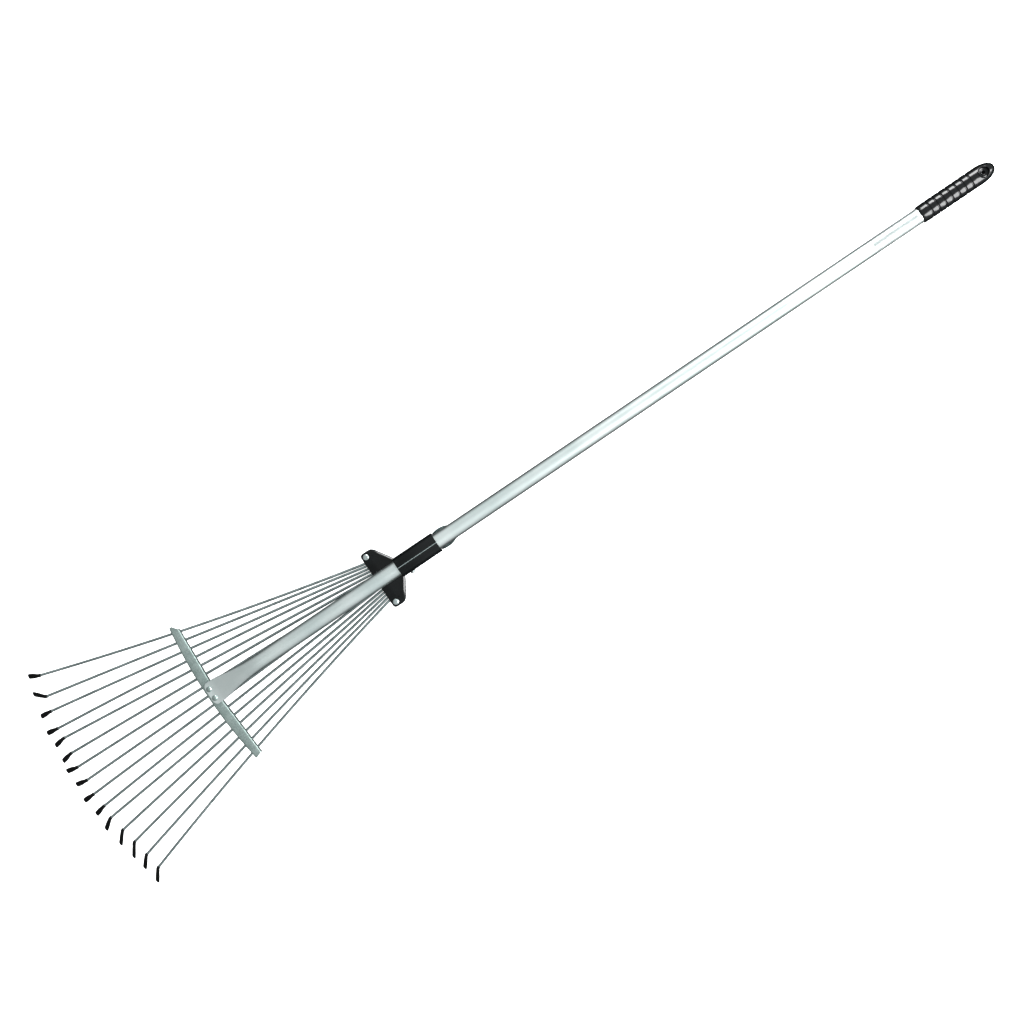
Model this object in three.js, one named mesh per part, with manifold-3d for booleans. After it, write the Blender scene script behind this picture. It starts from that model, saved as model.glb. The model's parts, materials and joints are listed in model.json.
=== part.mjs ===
// Adjustable leaf rake with a sliding hub and fifteen steel tines.
//
// Units are millimetres. The rake is drawn with its handle axis along X, the grip towards +X, the
// tine tips towards -X and +Z away from the lawn. At the end the whole group is tipped about one
// degree, so that it lies on its tine tips and on its grip.

import * as THREE from 'three';
import { mergeVertices } from 'three/addons/utils/BufferGeometryUtils.js';
import Module from 'manifold-3d';

const wasm = await Module();
wasm.setup();

// Driving dimensions.
const gap = 0.3; // running clearance between pieces that touch

const tubeRadius = 12;
const tubeWall = 1;
const tubeFrontX = -404; // end of the flattened tongue
const tubeRearX = 985; // inside the grip
const tongueHalfThickness = 1.1;
const flatteningStartX = -307;
const flatteningEndX = -388;

const gripFrontX = 883.6;
const gripShoulderX = 990;
const gripTipX = 1017.5;
const gripRadius = 14;
const gripGrooveCount = 7;
const gripGroovePitch = 12.2;
const gripGrooveDepth = 0.7;
const gripGrooveHalfWidth = 1.3;
const gripFirstGrooveX = 900.5;
const hangingHoleX = 997;
const hangingHoleRadius = 3.1;
const hangingHoleBowlRadius = 9.5; // the hole ends in a bowl on the upper side
const hangingHoleBowlFloorZ = 6.5;

const tineCount = 15;
const tineRadius = 1.9;
const tinePlaneZ = -17.6;
const tineReach = 540; // pivot to tip bend, before each tine's own difference
const tinePivotX = -88;
const tinePivotPitch = 4.37;
const tinePegLength = 5.4;
const tinePegRadius = 1.5;
const tipBendAngle = THREE.MathUtils.degToRad(56);
const tipBendRadius = 6;
const tipLength = 36; // straight part past the bend
const tipHalfWidth = 3.1;
const tipHalfThickness = 1;
const tipCoatThickness = 0.45;

// The tines are bent by hand, each a little differently: degrees of twist of the tip about the
// tine's own length, millimetres that the tip has drifted towards -Y, and millimetres that it
// reaches further than the others. All run from the +Y side to the -Y side.
const tineTwists = [-8, -19, 2, -1, 7, 7, -6, -6, -1, 4, 15, 24, 28, 21, 23];
const tineDrifts = [-10, 0.4, 0.8, 5.7, -0.3, 1.8, 1.5, 2.4, 2.3, 2.6, -0.7, 1.8, 3.7, 6.9, 9.9];
const tineExtraReaches = [-12, -9, -5.5, -2.5, -4.5, -2.5, 0.5, -0.5, 3.5, 1, 4, 1.5, 0, 0, 1.5];

const hubTravel = 90; // each way along the handle from the middle position
const slotClearance = 0.7; // beside the wire
const slotHeadroom = 0.9; // above and below the wire

const barX = -400;
const barWidth = 15; // at the middle; both ends are narrower
const barHalfLength = 117.5;
const barTopZ = -tubeRadius - gap;
const barBottomZ = -24;
const barSheet = 1.5;
const barFold = 1.5; // size of the rounded folds along both edges
const barSweep = 0.053; // both rear edges are swept towards the grip
const barFrontBow = 9; // the front edge curves back by this at both ends
const barTinePitch = 15.22;
const barRivetX = -399;
const barRivetY = 7.8;
const barRivetRadius = 2.3;
const barRivetDomeRadius = 4.4;
const barRivetDomeHeight = 2.4;

const plateFrontX = -99.2;
const plateRearX = -58.5;
const plateHalfWidth = 47.5;
const plateCornerX = -80.5; // where the slanted rear edges begin
const plateTopZ = -tubeRadius - 0.4;
const plateThickness = 3;
const plateRimBottomZ = -19.6;
const coverTopZ = -19.9;
const coverBottomZ = -25.4;
const coverHalfWidth = 45.5;
const lipHeight = 2.2;
const pipX = -84.2;
const pipY = 36.8;
const pipRadius = 1.5;
const tineBayHalfWidth = 34.2;
const tineBayRearX = -83;
const hubScrewX = -92.4;
const hubScrewY = 40.3;
const hubScrewRadius = 2;
const hubScrewHeadRadius = 4.7;

const sleeveFrontX = -61;
const sleeveRearX = 9;
const sleeveRadius = 15.8;
const sleeveBottomZ = -26;
const leverBayHalfWidth = 9.2;
const leverBayFrontX = -57.5;
const nutSeatY = 13.1;
const nutSeatRadius = 5;

const leverPivotX = -46;
const leverPivotZ = -20;
const leverCamRadius = 5.4;
const leverHalfWidth = 8.2;
const leverSheet = 1.6;
const leverNeckX = 13; // where the lever's cheeks end on the spoon
const leverBoltRadius = 2.5;
const shoeHalfLength = 8;
const shoeHalfWidth = 8.6;
const shoeTopZ = -9.5;
const spoonX = 21;
const spoonHalfLength = 24;
const spoonHalfWidth = 15.8;
const spoonBottomZ = -20.6;
const spoonRise = 14;

const labelFrontX = 800;
const labelRearX = 878;
const labelHalfAngle = THREE.MathUtils.degToRad(62);
const labelThickness = 0.2;

// ---------------------------------------------------------------------------------------------
// Solids: three.js makes the shapes, manifold-3d joins and cuts them.

function toSolid(geometry) {
  const bare = geometry.clone();
  bare.deleteAttribute('normal');
  bare.deleteAttribute('uv');
  const merged = mergeVertices(bare, 1e-4);
  const mesh = new wasm.Mesh({
    numProp: 3,
    vertProperties: new Float32Array(merged.attributes.position.array),
    triVerts: new Uint32Array(merged.index.array),
  });
  return new wasm.Manifold(mesh);
}

function toGeometry(solid) {
  const mesh = solid.getMesh();
  const geometry = new THREE.BufferGeometry();
  geometry.setAttribute('position', new THREE.BufferAttribute(new Float32Array(mesh.vertProperties), 3));
  geometry.setIndex(new THREE.BufferAttribute(new Uint32Array(mesh.triVerts), 1));
  geometry.computeVertexNormals();
  return geometry;
}

function join(...geometries) {
  return toGeometry(geometries.map(toSolid).reduce((whole, piece) => whole.add(piece)));
}

function cut(geometry, ...tools) {
  return toGeometry(tools.map(toSolid).reduce((whole, tool) => whole.subtract(tool), toSolid(geometry)));
}

// ---------------------------------------------------------------------------------------------
// Shape helpers.

function polygon(points) {
  return new THREE.Shape(points.map(([x, y]) => new THREE.Vector2(x, y)));
}

function extrude(shape, depth, curveSegments = 6, steps = 1) {
  return new THREE.ExtrudeGeometry(shape, { depth, curveSegments, steps, bevelEnabled: false });
}

// A shape drawn in X and Y, raised from z0 to z1.
function extrudeUp(shape, z0, z1, curveSegments) {
  return extrude(shape, z1 - z0, curveSegments).translate(0, 0, z0);
}

// A shape drawn in Y and Z, run along X from x0 to x1.
function extrudeLong(shape, x0, x1, curveSegments) {
  const axes = new THREE.Matrix4().makeBasis(
    new THREE.Vector3(0, 1, 0),
    new THREE.Vector3(0, 0, 1),
    new THREE.Vector3(1, 0, 0),
  );
  return extrude(shape, x1 - x0, curveSegments).applyMatrix4(axes).translate(x0, 0, 0);
}

// A shape drawn in X and Z, run across from y0 to y1.
function extrudeAcross(shape, y0, y1, curveSegments, steps) {
  const axes = new THREE.Matrix4().makeBasis(
    new THREE.Vector3(1, 0, 0),
    new THREE.Vector3(0, 0, 1),
    new THREE.Vector3(0, -1, 0),
  );
  return extrude(shape, y1 - y0, curveSegments, steps).applyMatrix4(axes).translate(0, y1, 0);
}

function box(x0, x1, y0, y1, z0, z1) {
  const geometry = new THREE.BoxGeometry(x1 - x0, y1 - y0, z1 - z0);
  return geometry.translate((x0 + x1) / 2, (y0 + y1) / 2, (z0 + z1) / 2);
}

// A solid turned about a vertical axis from [radius, z] pairs.
function turnedUp(profile, x, y, sides) {
  const points = profile.map(([radius, z]) => new THREE.Vector2(radius, z));
  return new THREE.LatheGeometry(points, sides).rotateX(Math.PI / 2).translate(x, y, 0);
}

function rodUp(radius, x, y, z0, z1, sides = 12) {
  return new THREE.CylinderGeometry(radius, radius, z1 - z0, sides)
    .rotateX(Math.PI / 2)
    .translate(x, y, (z0 + z1) / 2);
}

function rodLong(radius, x0, x1, sides = 24) {
  return new THREE.CylinderGeometry(radius, radius, x1 - x0, sides)
    .rotateZ(-Math.PI / 2)
    .translate((x0 + x1) / 2, 0, 0);
}

function rodAcross(radius, x, z, y0, y1, sides = 12) {
  return new THREE.CylinderGeometry(radius, radius, y1 - y0, sides).translate(x, (y0 + y1) / 2, z);
}

// A closed bar that runs through its stations. Each station has its centre x and z, its pitch
// below the horizontal, and its section: a flat strip with round edges, round where both halves match.
function loft(stations, sides) {
  const geometry = new THREE.CylinderGeometry(1, 1, 1, sides, stations.length - 1);
  const position = geometry.attributes.position;
  for (let i = 0; i < position.count; i += 1) {
    const along = Math.round((0.5 - position.getY(i)) * (stations.length - 1));
    const { x, y = 0, z = 0, pitch = 0, halfWidth, halfThickness, twist = 0 } = stations[along];
    const flat = halfWidth - halfThickness;
    const cos = position.getX(i);
    const sin = position.getZ(i);
    const across = (Math.abs(cos) < 1e-6 ? 0 : Math.sign(cos) * flat) + cos * halfThickness;
    const thick = sin * halfThickness;
    const isHub = Math.hypot(cos, sin) < 0.5;
    const point = new THREE.Vector3(
      x + (isHub ? 0 : thick * Math.sin(pitch)),
      isHub ? 0 : across,
      z + (isHub ? 0 : thick * Math.cos(pitch)),
    );
    point.applyAxisAngle(new THREE.Vector3(1, 0, 0), twist);
    position.setXYZ(i, point.x, point.y + y, point.z);
  }
  return geometry;
}

// ---------------------------------------------------------------------------------------------
// Handle tube: round steel tube, pressed flat at its front end into a tongue at the tube's underside.

function tubeStation(x, halfThickness, shrink = 0, halfWidthLimit = Infinity) {
  const flattenedHalfWidth = halfThickness + (Math.PI / 2) * (tubeRadius - halfThickness);
  return {
    x,
    z: halfThickness - tubeRadius,
    halfWidth: Math.min(flattenedHalfWidth, halfWidthLimit) - shrink,
    halfThickness: halfThickness - shrink,
  };
}

function handleTube() {
  const flatteningSteps = 7;
  const flattening = [];
  for (let step = 0; step <= flatteningSteps; step += 1) {
    const share = step / flatteningSteps;
    const x = THREE.MathUtils.lerp(flatteningEndX, flatteningStartX, share);
    const swell = Math.sin((share * Math.PI) / 2);
    flattening.push([x, THREE.MathUtils.lerp(tongueHalfThickness, tubeRadius, swell)]);
  }
  const outside = loft(
    [
      tubeStation(tubeFrontX, tongueHalfThickness, 0, 13),
      tubeStation(tubeFrontX + 1.5, tongueHalfThickness, 0, 16),
      tubeStation(tubeFrontX + 5, tongueHalfThickness),
      ...flattening.map(([x, halfThickness]) => tubeStation(x, halfThickness)),
      tubeStation(tubeRearX, tubeRadius),
    ],
    24,
  );
  const inside = loft(
    [
      ...flattening.slice(1).map(([x, halfThickness]) => tubeStation(x, halfThickness, tubeWall)),
      tubeStation(tubeRearX + 5, tubeRadius, tubeWall),
    ],
    24,
  );
  const rivetHoles = [-1, 1].map((side) => {
    return rodUp(barRivetRadius + gap, barRivetX, side * barRivetY, -tubeRadius - 5, 0);
  });
  return cut(outside, inside, ...rivetHoles);
}

// ---------------------------------------------------------------------------------------------
// End grip: a moulded cap pushed over the tube, ribbed by ring grooves, with a hanging hole.

function endGrip() {
  const profile = [new THREE.Vector2(tubeRadius + gap, gripFrontX)];
  profile.push(new THREE.Vector2(gripRadius - 1.1, gripFrontX));
  profile.push(new THREE.Vector2(gripRadius - 0.4, gripFrontX + 5));
  for (let groove = 0; groove < gripGrooveCount; groove += 1) {
    const x = gripFirstGrooveX + groove * gripGroovePitch;
    profile.push(new THREE.Vector2(gripRadius, x - gripGrooveHalfWidth));
    profile.push(new THREE.Vector2(gripRadius - gripGrooveDepth, x));
    profile.push(new THREE.Vector2(gripRadius, x + gripGrooveHalfWidth));
  }
  const noseSteps = 6;
  for (let step = 0; step <= noseSteps; step += 1) {
    const angle = (step / noseSteps) * (Math.PI / 2);
    const x = gripShoulderX + (gripTipX - gripShoulderX) * Math.sin(angle);
    profile.push(new THREE.Vector2(step === noseSteps ? 0 : gripRadius * Math.cos(angle), x));
  }
  profile.push(new THREE.Vector2(0, tubeRearX + 1));
  profile.push(new THREE.Vector2(tubeRadius + gap, tubeRearX + 1));
  profile.push(profile[0].clone());
  const cap = new THREE.LatheGeometry(profile, 24).rotateZ(-Math.PI / 2);
  const hangingHole = [
    [0, -gripRadius],
    [hangingHoleRadius, -gripRadius],
    [hangingHoleRadius, hangingHoleBowlFloorZ],
    [0.68 * hangingHoleBowlRadius, hangingHoleBowlFloorZ + 1],
    [0.9 * hangingHoleBowlRadius, hangingHoleBowlFloorZ + 4],
    [hangingHoleBowlRadius, gripRadius],
    [0, gripRadius],
  ];
  return cut(cap, turnedUp(hangingHole, hangingHoleX, 0, 24));
}

// A blank film sticker wrapped over the top of the tube, just in front of the grip.
function blankLabel() {
  const inner = tubeRadius + gap;
  const right = Math.PI / 2 - labelHalfAngle;
  const left = Math.PI / 2 + labelHalfAngle;
  const film = new THREE.Shape();
  film.absarc(0, 0, inner + labelThickness, right, left, false);
  film.absarc(0, 0, inner, left, right, true);
  return extrudeLong(film, labelFrontX, labelRearX, 10);
}

// ---------------------------------------------------------------------------------------------
// Tines. Each one turns on a peg in the hub and slides through its own slots in the spreader bar.

// The front and rear edges of the spreader bar, and the middle between them.
function barFrontXAt(y) {
  return barX - barWidth / 2 + barFrontBow * (y / barHalfLength) ** 2;
}

function barRearXAt(y) {
  return barX + barWidth / 2 + barSweep * Math.abs(y);
}

function barXAt(y) {
  return (barFrontXAt(y) + barRearXAt(y)) / 2;
}

function tineLayout(number) {
  const place = (tineCount - 1) / 2 - number;
  const pivotY = place * tinePivotPitch;
  const barY = place * barTinePitch;
  const forward = tinePivotX - barXAt(barY);
  return {
    pivotY,
    barY,
    forward,
    angle: Math.atan2(barY - pivotY, forward),
    toBar: Math.hypot(barY - pivotY, forward),
    twist: THREE.MathUtils.degToRad(tineTwists[number]),
    drift: tineDrifts[number],
    reach: tineReach + tineExtraReaches[number],
  };
}

// How far a tine stands off its straight line at a distance from its pivot: nothing at the pivot
// and at the bar, and its whole drift at the tip bend.
function tineBow(tine, distance) {
  const share = (distance * (distance - tine.toBar)) / (tine.reach * (tine.reach - tine.toBar));
  return tine.drift * share;
}

// Radians that a tine turns for each millimetre that the hub slides towards the grip.
function tineTurnRate(tine) {
  const slope = Math.tan(tine.angle);
  return slope / (tine.forward * (1 + slope * slope));
}

// The Y where a tine crosses a plane a distance in front of the hub's pivots, with the hub moved.
function tineCrossing(tine, planeX, hubShift) {
  const ahead = tinePivotX + hubShift - planeX;
  const angle = tine.angle - tineTurnRate(tine) * hubShift;
  const distance = ahead / Math.cos(angle);
  return tine.pivotY + ahead * Math.tan(angle) - tineBow(tine, distance);
}

function wireStation(x, z, pitch, radius, extra = {}) {
  return { x, z, pitch, halfWidth: radius, halfThickness: radius, ...extra };
}

// The bent and flattened end of a tine, grown all round by a margin for the coat and its fit.
function tipStations(tine, margin, startAngle, pastEnd) {
  const y = tineBow(tine, tine.reach);
  const stations = [];
  const bendSteps = 3;
  for (let step = 0; step <= bendSteps; step += 1) {
    const pitch = THREE.MathUtils.lerp(startAngle, tipBendAngle, step / bendSteps);
    const x = tine.reach + tipBendRadius * Math.sin(pitch);
    const z = -tipBendRadius * (1 - Math.cos(pitch));
    stations.push(wireStation(x, z, pitch, tineRadius + margin, { y, twist: tine.twist }));
  }
  const bend = stations[stations.length - 1];
  const flattened = [
    { share: 0.35, widening: 0.45, thinning: 0.56 },
    { share: 0.85, widening: 1, thinning: 1 },
    { share: 1, widening: 0.8, thinning: 1 },
  ];
  for (const { share, widening, thinning } of flattened) {
    const length = tipLength * share + (share === 1 ? pastEnd : 0);
    stations.push({
      ...bend,
      x: bend.x + length * Math.cos(tipBendAngle),
      z: bend.z - length * Math.sin(tipBendAngle),
      halfWidth: THREE.MathUtils.lerp(tineRadius, tipHalfWidth, widening) + margin,
      halfThickness: THREE.MathUtils.lerp(tineRadius, tipHalfThickness, thinning) + margin,
    });
  }
  return stations;
}

function tineWire(tine) {
  const hookRadius = 2;
  const hookMiddle = hookRadius * (1 - Math.SQRT1_2);
  const stations = [
    wireStation(0, -tinePegLength, -Math.PI / 2, tinePegRadius),
    wireStation(0, -hookRadius, -Math.PI / 2, tinePegRadius),
    wireStation(hookMiddle, -hookMiddle, -Math.PI / 4, (tinePegRadius + tineRadius) / 2),
    wireStation(hookRadius, 0, 0, tineRadius),
  ];
  const bodySteps = 7;
  for (let step = 1; step < bodySteps; step += 1) {
    const x = (tine.reach * step) / bodySteps;
    stations.push(wireStation(x, 0, 0, tineRadius, { y: tineBow(tine, x) }));
  }
  stations.push(...tipStations(tine, 0, 0, 0));
  return loft(stations, 8);
}

// The coat begins just past the start of the bend and is closed at the tip.
function tineTipCoat(tine) {
  const startAngle = 0.15;
  const outer = gap + tipCoatThickness;
  const bend = { y: tineBow(tine, tine.reach), twist: tine.twist };
  const throughTheOpenEnd = wireStation(tine.reach - 1, 0, 0, tineRadius + gap, bend);
  const outside = loft(tipStations(tine, outer, startAngle, outer), 8);
  const inside = loft([throughTheOpenEnd, ...tipStations(tine, gap, startAngle, gap)], 8);
  return cut(outside, inside);
}

// Turns a piece drawn along a tine to where the tine stands in the rake.
function placeTinePiece(mesh, tine) {
  mesh.position.set(tinePivotX, tine.pivotY, tinePlaneZ);
  mesh.rotation.z = Math.PI - tine.angle;
  return mesh;
}

// ---------------------------------------------------------------------------------------------
// Spreader bar: a folded channel, web on top, riveted under the tongue. Both flanges are slotted.

function slotTool(tine) {
  const crossings = [];
  for (const hubShift of [-hubTravel, 0, hubTravel]) {
    for (const side of [-1, 1]) {
      const planeX = barXAt(tine.barY) + (side * barWidth) / 2;
      const drawnY = tineCrossing(tine, planeX, hubShift);
      const skew = (planeX - barXAt(tine.barY)) * -Math.tan(tine.angle);
      crossings.push(drawnY - skew);
    }
  }
  const reach = tineRadius / Math.cos(tine.angle) + slotClearance;
  const low = Math.min(...crossings) - reach;
  const high = Math.max(...crossings) + reach;
  const height = 2 * (tineRadius + slotHeadroom);
  const slot = new THREE.BoxGeometry(barWidth * 2, (high - low) * Math.cos(tine.angle), height);
  slot.rotateZ(-tine.angle);
  return slot.translate(barXAt(tine.barY), (low + high) / 2, tinePlaneZ);
}

// A block that trims one end of the bar along the slanted line through two [x, y] places. The block
// lies on the left of the line, seen from the first place.
function endTrim([x0, y0], [x1, y1]) {
  const reach = 40;
  const block = box(-reach, reach, 0, reach, barBottomZ - 1, barTopZ + 1);
  return block.rotateZ(Math.atan2(y1 - y0, x1 - x0)).translate((x0 + x1) / 2, (y0 + y1) / 2, 0);
}

function spreaderBar(tines) {
  const half = barWidth / 2;
  const channel = polygon([
    [-half, barBottomZ],
    [-half + barSheet, barBottomZ],
    [-half + barSheet, barTopZ - barSheet],
    [half - barSheet, barTopZ - barSheet],
    [half - barSheet, barBottomZ],
    [half, barBottomZ],
    [half, barTopZ - barFold],
    [half - barFold * 0.3, barTopZ - barFold * 0.3],
    [half - barFold, barTopZ],
    [-half + barFold, barTopZ],
    [-half + barFold * 0.3, barTopZ - barFold * 0.3],
    [-half, barTopZ - barFold],
  ]);
  const left = extrudeAcross(channel, 0, barHalfLength, 1, 6);
  const right = extrudeAcross(channel, -barHalfLength, 0, 1, 6);
  for (const limb of [left, right]) {
    const position = limb.attributes.position;
    for (let i = 0; i < position.count; i += 1) {
      const x = position.getX(i);
      const y = position.getY(i);
      position.setX(i, x > 0 ? barRearXAt(y) + x - half : barFrontXAt(y) + x + half);
    }
  }
  const rivetHoles = [-1, 1].map((side) => {
    return rodUp(barRivetRadius + gap, barRivetX, side * barRivetY, barTopZ - 5, barTopZ + 5);
  });
  const leftEnd = endTrim([-393, 116], [-383, 102.5]);
  const rightEnd = endTrim([-384, -113], [-397, -117.5]);
  return cut(join(left, right), leftEnd, rightEnd, ...tines.map(slotTool), ...rivetHoles);
}

function barRivet(side) {
  const topZ = -tubeRadius + 2 * tongueHalfThickness + gap;
  const underZ = barTopZ - barSheet - gap;
  const profile = [
    [0, underZ - 1.2],
    [3, underZ - 1.2],
    [3.4, underZ],
    [barRivetRadius, underZ],
    [barRivetRadius, topZ],
    [barRivetDomeRadius, topZ],
    [0.8 * barRivetDomeRadius, topZ + 0.6 * barRivetDomeHeight],
    [0.4 * barRivetDomeRadius, topZ + 0.92 * barRivetDomeHeight],
    [0, topZ + barRivetDomeHeight],
  ];
  return turnedUp(profile, barRivetX, side * barRivetY, 12);
}

// ---------------------------------------------------------------------------------------------
// Hub: a sleeve that slides on the handle, moulded in one with the winged plate above the tine pegs.

// One half of the winged plate, from its front edge round its corners to the sleeve, then mirrored.
function plateOutline() {
  const half = [
    [plateFrontX, plateHalfWidth - 6],
    [plateFrontX + 1.8, plateHalfWidth - 1.8],
    [plateFrontX + 6, plateHalfWidth],
    [plateCornerX, plateHalfWidth],
    [plateCornerX + 3.5, plateHalfWidth - 1.8],
    [plateRearX, sleeveRadius],
  ];
  const mirrored = half.map(([x, y]) => [x, -y]).reverse();
  return polygon([...mirrored, ...half].reverse());
}

function sleeveOutline() {
  const outline = new THREE.Shape();
  const foot = 3;
  outline.moveTo(sleeveRadius, 0);
  outline.absarc(0, 0, sleeveRadius, 0, Math.PI, false);
  outline.lineTo(-sleeveRadius, sleeveBottomZ + foot);
  outline.lineTo(-sleeveRadius + foot, sleeveBottomZ);
  outline.lineTo(sleeveRadius - foot, sleeveBottomZ);
  outline.lineTo(sleeveRadius, sleeveBottomZ + foot);
  return outline;
}

// A rib along one slanted rear edge of the plate.
function raisedLip(side) {
  const outline = [
    [plateCornerX + 3, side * (plateHalfWidth - 2.5)],
    [plateRearX - 0.5, side * (sleeveRadius - 0.5)],
    [plateRearX - 3.5, side * (sleeveRadius - 2)],
    [plateCornerX + 1, side * (plateHalfWidth - 4.5)],
  ];
  const shape = polygon(side > 0 ? outline.reverse() : outline);
  return extrudeUp(shape, plateTopZ - 1, plateTopZ + lipHeight);
}

function hubScrewHoles() {
  return [-1, 1].map((side) => {
    return rodUp(hubScrewRadius + gap, hubScrewX, side * hubScrewY, sleeveBottomZ - 5, 0);
  });
}

function hubBody() {
  const plate = extrudeUp(plateOutline(), plateRimBottomZ, plateTopZ);
  const bayFlare = 3.2; // the bay is wider at the front, where the tines have spread
  const tineBayOutline = polygon([
    [plateFrontX - 1, -tineBayHalfWidth - bayFlare],
    [tineBayRearX, -tineBayHalfWidth],
    [tineBayRearX, tineBayHalfWidth],
    [plateFrontX - 1, tineBayHalfWidth + bayFlare],
  ]);
  const tineBay = extrudeUp(tineBayOutline, plateRimBottomZ - 1, plateTopZ - plateThickness);
  const sleeve = extrudeLong(sleeveOutline(), sleeveFrontX, sleeveRearX, 16);
  const bore = rodLong(tubeRadius + gap, plateFrontX - 5, sleeveRearX + 5);
  const bayWall = leverBayHalfWidth;
  const leverBay = box(leverBayFrontX, sleeveRearX + 1, -bayWall, bayWall, sleeveBottomZ - 1, 0);
  const boltHole = rodAcross(leverBoltRadius + gap, leverPivotX, leverPivotZ, -20, 20);
  const nutSeat = rodAcross(nutSeatRadius, leverPivotX, leverPivotZ, nutSeatY, 20, 6);
  const pips = [-1, 1].map((side) => {
    return rodUp(pipRadius, pipX, side * pipY, plateTopZ - 1, plateTopZ + 0.7, 10);
  });
  const moulding = join(plate, sleeve, raisedLip(1), raisedLip(-1), ...pips);
  return cut(moulding, tineBay, bore, leverBay, boltHole, nutSeat, ...hubScrewHoles());
}

// The lower plate keeps the tine pegs in; each peg turns in its own hole.
function hubCover(tines) {
  const frontX = plateFrontX + 1;
  const rearX = sleeveFrontX - 2;
  const rearHalfWidth = 20;
  const outline = polygon([
    [frontX, -coverHalfWidth],
    [plateCornerX, -coverHalfWidth],
    [rearX, -rearHalfWidth],
    [rearX, rearHalfWidth],
    [plateCornerX, coverHalfWidth],
    [frontX, coverHalfWidth],
  ]);
  const plate = extrudeUp(outline, coverBottomZ, coverTopZ);
  const pegHoles = tines.map((tine) => {
    return rodUp(tinePegRadius + gap, tinePivotX, tine.pivotY, coverBottomZ - 1, coverTopZ + 1, 10);
  });
  return cut(plate, ...pegHoles, ...hubScrewHoles());
}

function hubScrew(side) {
  const seat = plateTopZ + gap;
  const profile = [
    [0, coverBottomZ + 0.8],
    [hubScrewRadius, coverBottomZ + 1.8],
    [hubScrewRadius, seat],
    [hubScrewHeadRadius, seat],
    [hubScrewHeadRadius - 0.2, seat + 1.2],
    [hubScrewHeadRadius - 2, seat + 2.3],
    [0, seat + 2.5],
  ];
  return turnedUp(profile, hubScrewX, side * hubScrewY, 14);
}

// ---------------------------------------------------------------------------------------------
// Clamp: a pressed-steel cam lever under the sleeve pushes a shoe against the tube.

function clampShoe() {
  const frontX = leverPivotX - shoeHalfLength;
  const rearX = leverPivotX + shoeHalfLength;
  const underZ = leverPivotZ + leverCamRadius + gap;
  const block = box(frontX, rearX, -shoeHalfWidth, shoeHalfWidth, underZ, shoeTopZ);
  return cut(block, rodLong(tubeRadius + gap, sleeveFrontX, sleeveRearX));
}

function leverCheek(side) {
  const cheek = new THREE.Shape();
  cheek.moveTo(leverNeckX, spoonBottomZ - 0.2);
  cheek.lineTo(leverNeckX, spoonBottomZ + 2);
  cheek.lineTo(leverPivotX + 12, leverPivotZ + 3.8);
  cheek.lineTo(leverPivotX, leverPivotZ + leverCamRadius);
  cheek.absarc(leverPivotX, leverPivotZ, leverCamRadius, Math.PI / 2, Math.PI * 1.5, false);
  const near = side * (leverHalfWidth - leverSheet);
  const far = side * leverHalfWidth;
  return extrudeAcross(cheek, Math.min(near, far), Math.max(near, far), 8);
}

function leverSpoon() {
  const rings = [0, 0.45, 0.8, 1];
  const under = rings.map((share) => new THREE.Vector2(share, 0));
  const over = rings.map((share) => new THREE.Vector2(share, leverSheet)).reverse();
  const spoon = new THREE.LatheGeometry([...under, ...over], 24).rotateX(Math.PI / 2);
  const position = spoon.attributes.position;
  for (let i = 0; i < position.count; i += 1) {
    const across = position.getY(i);
    position.setXYZ(
      i,
      spoonX + position.getX(i) * spoonHalfLength,
      across * spoonHalfWidth,
      spoonBottomZ + position.getZ(i) + spoonRise * across * across,
    );
  }
  return cut(spoon, box(-20, sleeveRearX + 0.8, -30, 30, -40, 10));
}

// The cheeks, the web between them and the spoon are one pressing.
function clampLever() {
  const web = extrudeAcross(
    polygon([
      [leverPivotX + 7, leverPivotZ - 5],
      [leverNeckX + 1, spoonBottomZ - 0.2],
      [leverNeckX + 1, spoonBottomZ + 1.3],
      [leverPivotX + 7, leverPivotZ - 3.5],
    ]),
    -leverHalfWidth,
    leverHalfWidth,
  );
  const pressing = join(leverCheek(1), leverCheek(-1), web, leverSpoon());
  return cut(pressing, rodAcross(leverBoltRadius + gap, leverPivotX, leverPivotZ, -12, 12));
}

function leverBolt() {
  const seat = sleeveRadius + gap;
  const profile = [
    [0, -15.6],
    [leverBoltRadius, -15.6],
    [leverBoltRadius, seat],
    [3.8, seat],
    [3.6, seat + 1.8],
    [2.4, seat + 2.6],
    [0, seat + 2.8],
  ];
  const points = profile.map(([radius, y]) => new THREE.Vector2(radius, y));
  return new THREE.LatheGeometry(points, 14).rotateX(Math.PI).translate(leverPivotX, 0, leverPivotZ);
}

function leverNut() {
  const nut = rodAcross(4.4, leverPivotX, leverPivotZ, 13.4, 15.7, 6);
  return cut(nut, rodAcross(leverBoltRadius + gap, leverPivotX, leverPivotZ, 10, 20));
}

// ---------------------------------------------------------------------------------------------
// Materials.

function finish(color, roughness, metalness) {
  return () => new THREE.MeshStandardMaterial({ color, roughness, metalness });
}

const brightZinc = finish('#dfe6e6', 0.28, 0.9);
const galvanised = finish('#b9c8c6', 0.45, 0.8);
const springSteel = finish('#a3adad', 0.35, 0.9);
const pressedSteel = finish('#c3cccc', 0.3, 0.9);
const blackNylon = finish('#25292b', 0.5, 0);
const blackVinyl = finish('#191b1d', 0.35, 0);
const blackDip = finish('#151718', 0.6, 0);
const shoeBrass = finish('#b08d4a', 0.45, 0.8);
const labelFilm = finish('#dce1e1', 0.3, 0);

function piece(name, geometry, material) {
  const mesh = new THREE.Mesh(geometry, material());
  mesh.name = name;
  return mesh;
}

// ---------------------------------------------------------------------------------------------
// Assembly.

const tines = Array.from({ length: tineCount }, (_, number) => tineLayout(number));

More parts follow.
